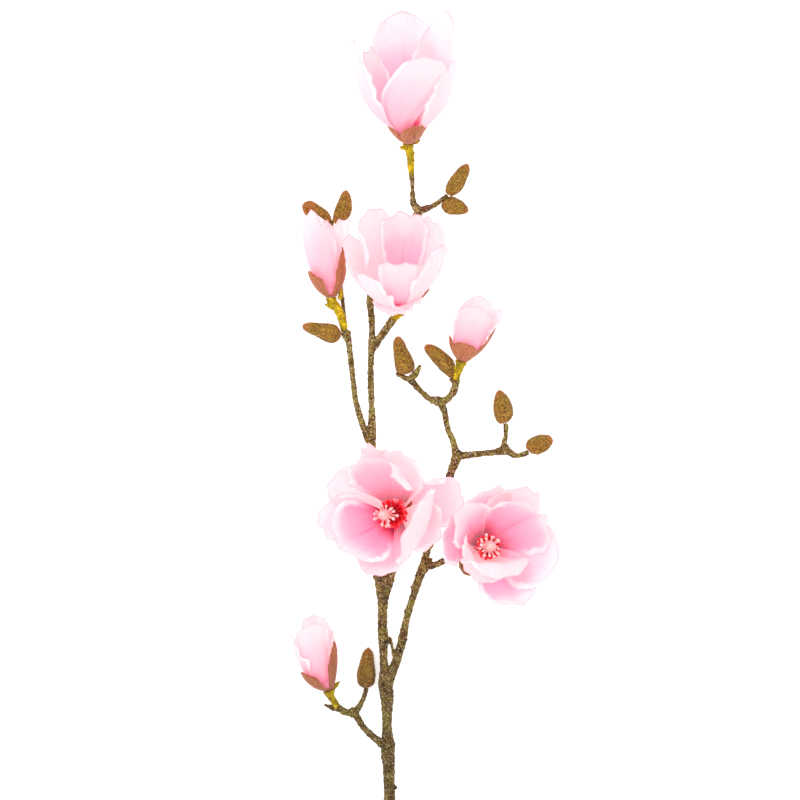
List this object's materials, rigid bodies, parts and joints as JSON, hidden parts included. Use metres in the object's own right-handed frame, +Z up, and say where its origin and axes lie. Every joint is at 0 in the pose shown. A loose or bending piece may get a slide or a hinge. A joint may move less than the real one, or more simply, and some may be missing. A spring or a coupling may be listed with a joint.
{
  "type": "magnolia branch",
  "caption": "Cut branching magnolia spray with knobbly bark, pink blooms open and half open, and furry buds, lying flat.",
  "frame": {"origin": "on the surface that the branch lies on, under the middle of its bounding box", "axes": "+Y from the cut end towards the top bloom, +Z up out of the surface, the way the wide open blooms face, and +X to the right seen from above with the top bloom away from the viewer"},
  "size_m": [0.2687, 0.8528, 0.1054],
  "materials": {
    "bark": "matte, knobbly, speckled",
    "stalk": "satin",
    "bract": "matte",
    "petal": "soft matte, finely veined",
    "stamen": "satin",
    "pistil": "satin",
    "bud": "furry"
  },
  "bodies": {
    "root": {"branch": "bark", "bud_top_upper": "bud", "bud_top_lower": "bud", "bud_left_arched": "bud", "bud_left_upright": "bud", "bud_left_side": "bud", "bud_middle": "bud", "bud_right_low": "bud", "bud_right_upright": "bud", "bud_right_end": "bud", "bud_lower": "bud", "top_bloom_stalk": "stalk", "top_bloom_bracts": "bract", "top_bloom_petals": "petal", "top_bloom_stamens": "stamen", "top_bloom_pistil": "pistil", "upper_left_bloom_stalk": "stalk", "upper_left_bloom_bracts": "bract", "upper_left_bloom_petals": "petal", "middle_bloom_stalk": "stalk", "middle_bloom_bracts": "bract", "middle_bloom_petals": "petal", "middle_bloom_stamens": "stamen", "middle_bloom_pistil": "pistil", "upper_right_bloom_stalk": "stalk", "upper_right_bloom_bracts": "bract", "upper_right_bloom_petals": "petal", "open_left_bloom_stalk": "stalk", "open_left_bloom_bracts": "bract", "open_left_bloom_petals": "petal", "open_left_bloom_stamens": "stamen", "open_left_bloom_pistil": "pistil", "open_right_bloom_stalk": "stalk", "open_right_bloom_bracts": "bract", "open_right_bloom_petals": "petal", "open_right_bloom_stamens": "stamen", "open_right_bloom_pistil": "pistil", "lower_left_bloom_stalk": "stalk", "lower_left_bloom_bracts": "bract", "lower_left_bloom_petals": "petal"}
  },
  "joints": []
}
